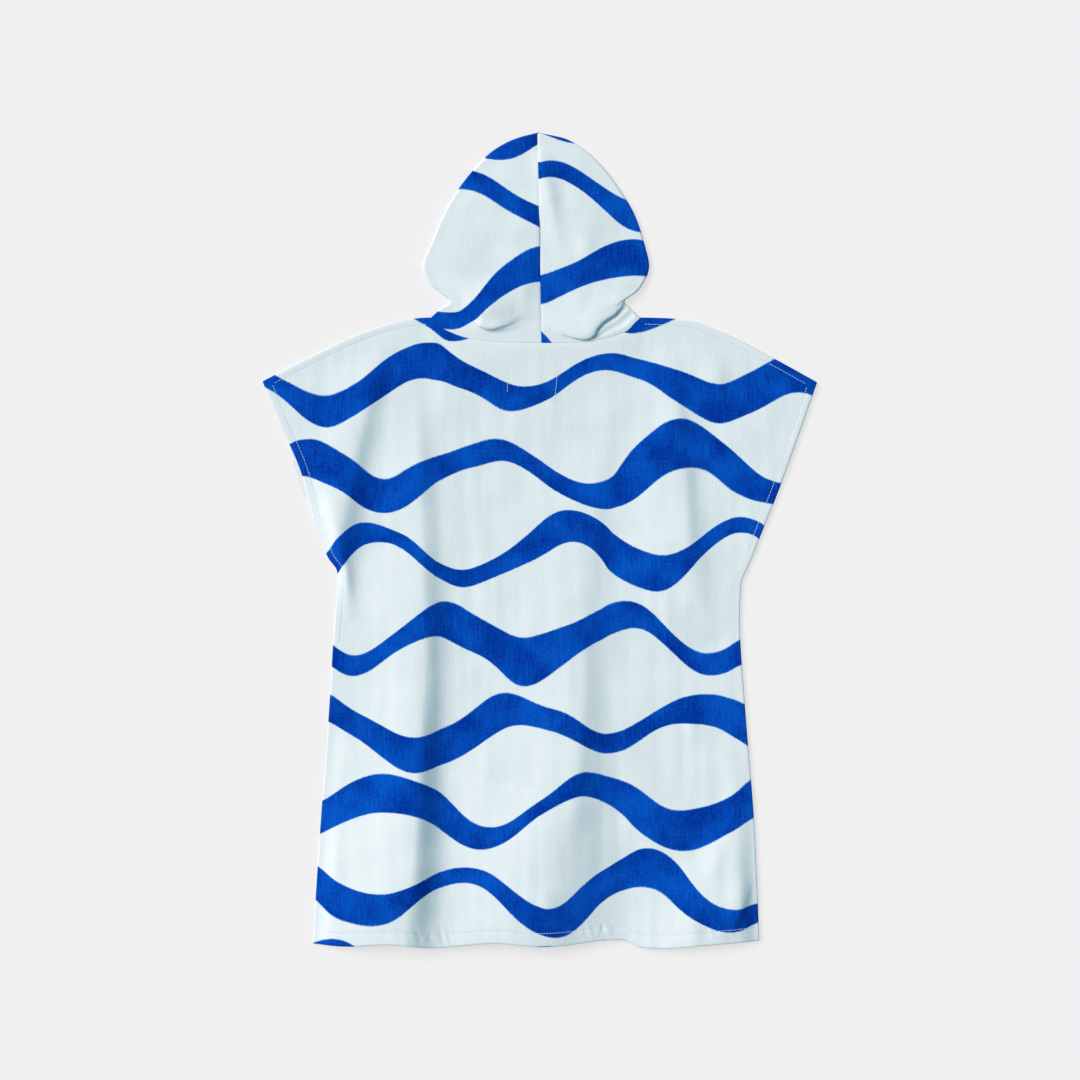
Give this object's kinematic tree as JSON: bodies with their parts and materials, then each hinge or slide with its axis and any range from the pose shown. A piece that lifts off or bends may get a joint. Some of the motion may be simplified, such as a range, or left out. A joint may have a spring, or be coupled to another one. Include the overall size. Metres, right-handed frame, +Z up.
{
  "type": "hooded bath poncho laid flat",
  "caption": "Child's hooded bath poncho in printed cotton towelling, lying face down and flat with its hood spread above it.",
  "frame": {"origin": "on the surface it lies on, under the middle of the garment's bounding box", "axes": "+Y from the hem to the hood, +X towards the right sleeve as seen from above, +Z up from the surface"},
  "size_m": [0.6357, 0.9358, 0.0264],
  "materials": {
    "towelling_printed": "matte"
  },
  "bodies": {
    "root": {"body_back": "towelling_printed", "body_front": "towelling_printed", "hood_left": "towelling_printed", "hood_right": "towelling_printed"}
  },
  "joints": []
}
